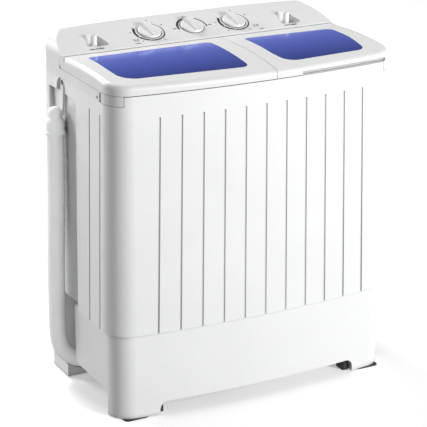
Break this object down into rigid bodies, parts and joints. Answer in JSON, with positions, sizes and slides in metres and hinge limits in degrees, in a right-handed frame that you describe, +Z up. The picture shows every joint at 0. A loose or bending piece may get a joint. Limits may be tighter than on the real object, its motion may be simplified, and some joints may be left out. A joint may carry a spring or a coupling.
{
  "type": "twin tub washer",
  "caption": "Portable twin tub washing machine with a fluted white cabinet, hinged lids with blue windows, a sloping dial panel and a side drain hose.",
  "frame": {"origin": "middle of the footprint on the floor (bottom centre of the machine without its drain hose)", "axes": "+Z up, front faces -Y, wash tub on -X and spin tub on +X as seen from the front"},
  "size_m": [0.6529, 0.367, 0.7076],
  "materials": {
    "white_body": "satin moulded",
    "white_top": "satin moulded",
    "white_fitting": "satin moulded",
    "white_knob": "glossy",
    "blue_window": "glossy translucent",
    "hose_grey": "matte flexible",
    "hose_cuff": "matte",
    "rubber_feet": "matte",
    "grey_cover": "matte",
    "tub_plastic": "satin",
    "basket_plastic": "satin",
    "pulsator_plastic": "satin",
    "pulley_plastic": "matte",
    "black_rubber": "matte",
    "motor_alloy": "cast",
    "bracket_steel": "zinc plated",
    "pin_steel": "ground",
    "screw_steel": "plated",
    "capacitor_case": "matte"
  },
  "bodies": {
    "root": {"base_skirt": "white_body", "foot_pads": "rubber_feet", "foot_boots": "rubber_feet", "cabinet_shell": "white_body", "back_cover": "grey_cover", "back_cover_screws": "screw_steel", "top_frame": "white_top", "corner_screws": "screw_steel", "control_panel": "white_top", "wash_inlet_spout": "white_fitting", "spin_inlet_spout": "white_fitting", "wash_timer_body": "grey_cover", "wash_selector_body": "grey_cover", "spin_timer_body": "grey_cover", "wash_tub": "tub_plastic", "overflow_cover": "white_fitting", "wash_bearing_housing": "motor_alloy", "drive_belt": "black_rubber", "wash_motor_body": "motor_alloy", "wash_motor_bracket": "bracket_steel", "drain_valve_housing": "grey_cover", "drain_valve_bellows": "black_rubber", "drain_outlet_elbow": "grey_cover", "drain_hose": "hose_grey", "drain_hose_cuff": "hose_cuff", "hose_hanger": "white_fitting", "hose_hanger_screw": "screw_steel", "spin_tub_outer": "tub_plastic", "spin_tub_seal": "black_rubber", "brake_post": "bracket_steel", "spin_motor_body": "motor_alloy", "spin_motor_mounts": "black_rubber", "motor_tray": "bracket_steel", "capacitor": "capacitor_case", "power_cord_gland": "black_rubber"},
    "wash_lid": {"wash_lid_frame": "white_top", "wash_lid_window": "blue_window", "wash_lid_pins": "pin_steel"},
    "spin_lid": {"spin_lid_frame": "white_top", "spin_lid_window": "blue_window", "spin_lid_pins": "pin_steel"},
    "wash_timer": {"wash_timer_knob": "white_knob", "wash_timer_shaft": "pin_steel"},
    "wash_selector": {"wash_selector_knob": "white_knob", "wash_selector_shaft": "pin_steel"},
    "spin_timer": {"spin_timer_knob": "white_knob", "spin_timer_shaft": "pin_steel"},
    "pulsator": {"pulsator": "pulsator_plastic", "pulsator_screw": "screw_steel", "pulsator_shaft": "pin_steel", "wash_pulley": "pulley_plastic"},
    "wash_motor_rotor": {"motor_pulley": "motor_alloy", "wash_motor_shaft": "pin_steel"},
    "spin_rotor": {"spin_basket": "basket_plastic", "spin_press_plate": "white_fitting", "spin_shaft": "pin_steel", "brake_drum": "motor_alloy"},
    "drain_plug": {"drain_valve_plug": "black_rubber"},
    "lint_filter": {"lint_filter": "white_fitting"},
    "brake_lever": {"brake_lever": "bracket_steel"}
  },
  "joints": [
    {"name": "wash_lid_hinge", "type": "hinge", "parent": "root", "child": "wash_lid", "pos_m": [-0.133, 0.069, 0.668], "axis": [-1, 0, 0], "range_deg": [0, 95]},
    {"name": "spin_lid_hinge", "type": "hinge", "parent": "root", "child": "spin_lid", "pos_m": [0.168, 0.069, 0.668], "axis": [-1, 0, 0], "range_deg": [0, 95]},
    {"name": "wash_timer_turn", "type": "hinge", "parent": "root", "child": "wash_timer", "pos_m": [-0.095, 0.1185, 0.68952], "axis": [0, 0.3256, -0.9455], "range_deg": [0, 300]},
    {"name": "wash_selector_turn", "type": "hinge", "parent": "root", "child": "wash_selector", "pos_m": [0, 0.1185, 0.68952], "axis": [0, 0.3256, -0.9455], "range_deg": [-90, 90]},
    {"name": "spin_timer_turn", "type": "hinge", "parent": "root", "child": "spin_timer", "pos_m": [0.095, 0.1185, 0.68952], "axis": [0, 0.3256, -0.9455], "range_deg": [0, 300]},
    {"name": "pulsator_spin", "type": "hinge", "parent": "root", "child": "pulsator", "pos_m": [-0.1365, -0.05, 0.2], "axis": [0, 0, 1], "continuous": true},
    {"name": "wash_motor_spin", "type": "hinge", "parent": "root", "child": "wash_motor_rotor", "pos_m": [0.01, -0.05, 0.14], "axis": [0, 0, 1], "continuous": true},
    {"name": "spin_basket_spin", "type": "hinge", "parent": "root", "child": "spin_rotor", "pos_m": [0.16, -0.05, 0.24], "axis": [0, 0, 1], "continuous": true},
    {"name": "drain_valve_lift", "type": "slide", "parent": "root", "child": "drain_plug", "axis": [0, 0, 1], "range_m": [0, 0.012], "stiffness_N_per_m": 400, "springref_m": -0.004, "deforming": ["drain_valve_bellows"]},
    {"name": "lint_filter_slide", "type": "slide", "parent": "root", "child": "lint_filter", "axis": [0, 0, 1], "range_m": [0, 0.12]},
    {"name": "brake_lever_turn", "type": "hinge", "parent": "root", "child": "brake_lever", "pos_m": [0.21, 0.005, 0.208], "axis": [0, 0, -1], "range_deg": [0, 3.9]}
  ],
  "couplings": [
    {"joint": "wash_motor_spin", "follows": "pulsator_spin", "ratio": 3.6291},
    {"joint": "brake_lever_turn", "follows": "spin_lid_hinge", "ratio": 0.04105}
  ]
}
